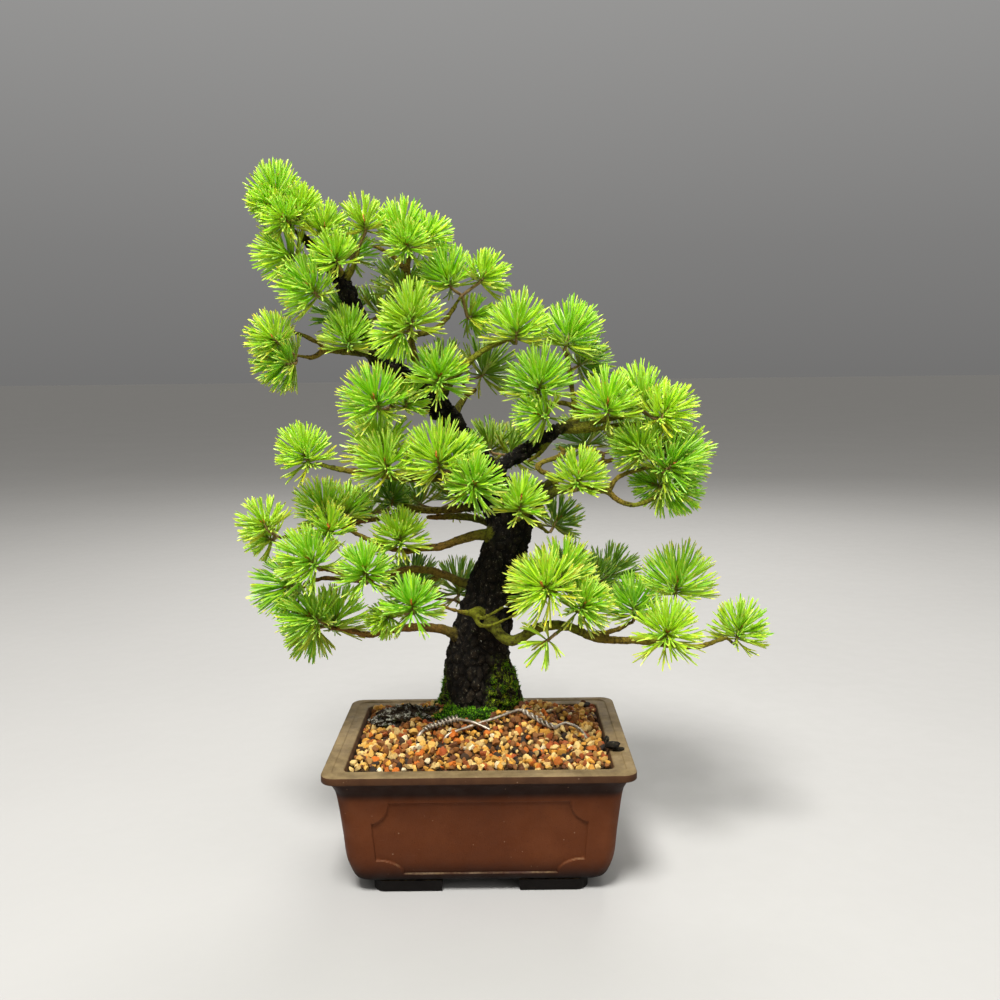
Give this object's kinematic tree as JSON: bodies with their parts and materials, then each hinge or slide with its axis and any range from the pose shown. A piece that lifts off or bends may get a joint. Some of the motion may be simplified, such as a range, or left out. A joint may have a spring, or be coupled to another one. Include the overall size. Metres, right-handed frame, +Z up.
{
  "type": "japanese white pine bonsai",
  "caption": "Potted five-needle pine trained as a small tree with a leaning trunk and tufted twigs, in a rectangular unglazed clay pot with granular soil.",
  "frame": {"origin": "middle of the bounding box at the level of the pot's feet", "axes": "+Z up along the trunk, +X to the right seen from the front, -Y towards the front"},
  "size_m": [0.4088, 0.2132, 0.5307],
  "materials": {
    "clay": "unglazed, matt with a faint sheen",
    "gravel": "dry granules of mixed ochre, cream, brown and grey",
    "bark": "rough fissured bark",
    "foliage": "satin needles",
    "moss": "matt moss",
    "humus": "matt crumbly humus",
    "wire": "dull oxidised",
    "screen": "matt"
  },
  "bodies": {
    "root": {"anchor_wire_left": "wire", "anchor_wire_right": "wire", "humus_patch": "humus", "mesh_screen_left": "screen", "mesh_screen_right": "screen", "moss_mound": "moss", "needles_apex": "foliage", "needles_apex_right": "foliage", "needles_back_crown": "foliage", "needles_back_low": "foliage", "needles_back_low_right": "foliage", "needles_back_middle": "foliage", "needles_back_right": "foliage", "needles_back_upper": "foliage", "needles_crown_behind": "foliage", "needles_crown_front": "foliage", "needles_crown_peak": "foliage", "needles_crown_right": "foliage", "needles_far_left": "foliage", "needles_heart_front": "foliage", "needles_inner_left_pad": "foliage", "needles_left_apex": "foliage", "needles_left_bud": "foliage", "needles_left_crown": "foliage", "needles_left_heart": "foliage", "needles_left_middle": "foliage", "needles_left_shoulder": "foliage", "needles_left_star": "foliage", "needles_left_under": "foliage", "needles_low_left": "foliage", "needles_low_left_back": "foliage", "needles_low_left_bright": "foliage", "needles_low_right_behind": "foliage", "needles_low_right_bright": "foliage", "needles_low_right_crest": "foliage", "needles_low_right_fan": "foliage", "needles_low_right_hanging": "foliage", "needles_low_right_star": "foliage", "needles_low_right_tip": "foliage", "needles_middle_back": "foliage", "needles_middle_front": "foliage", "needles_outer_left": "foliage", "needles_outer_left_low": "foliage", "needles_outer_left_pad": "foliage", "needles_right_back": "foliage", "needles_right_edge_low": "foliage", "needles_right_face": "foliage", "needles_right_far": "foliage", "needles_right_heart": "foliage", "needles_right_low_pad": "foliage", "needles_right_pad": "foliage", "needles_right_peak": "foliage", "needles_right_shade": "foliage", "needles_right_top": "foliage", "needles_shoulder_peak": "foliage", "needles_shoulder_top": "foliage", "needles_trunk_front": "foliage", "pot": "clay", "soil": "gravel", "trunk_and_branches": "bark"}
  },
  "joints": []
}
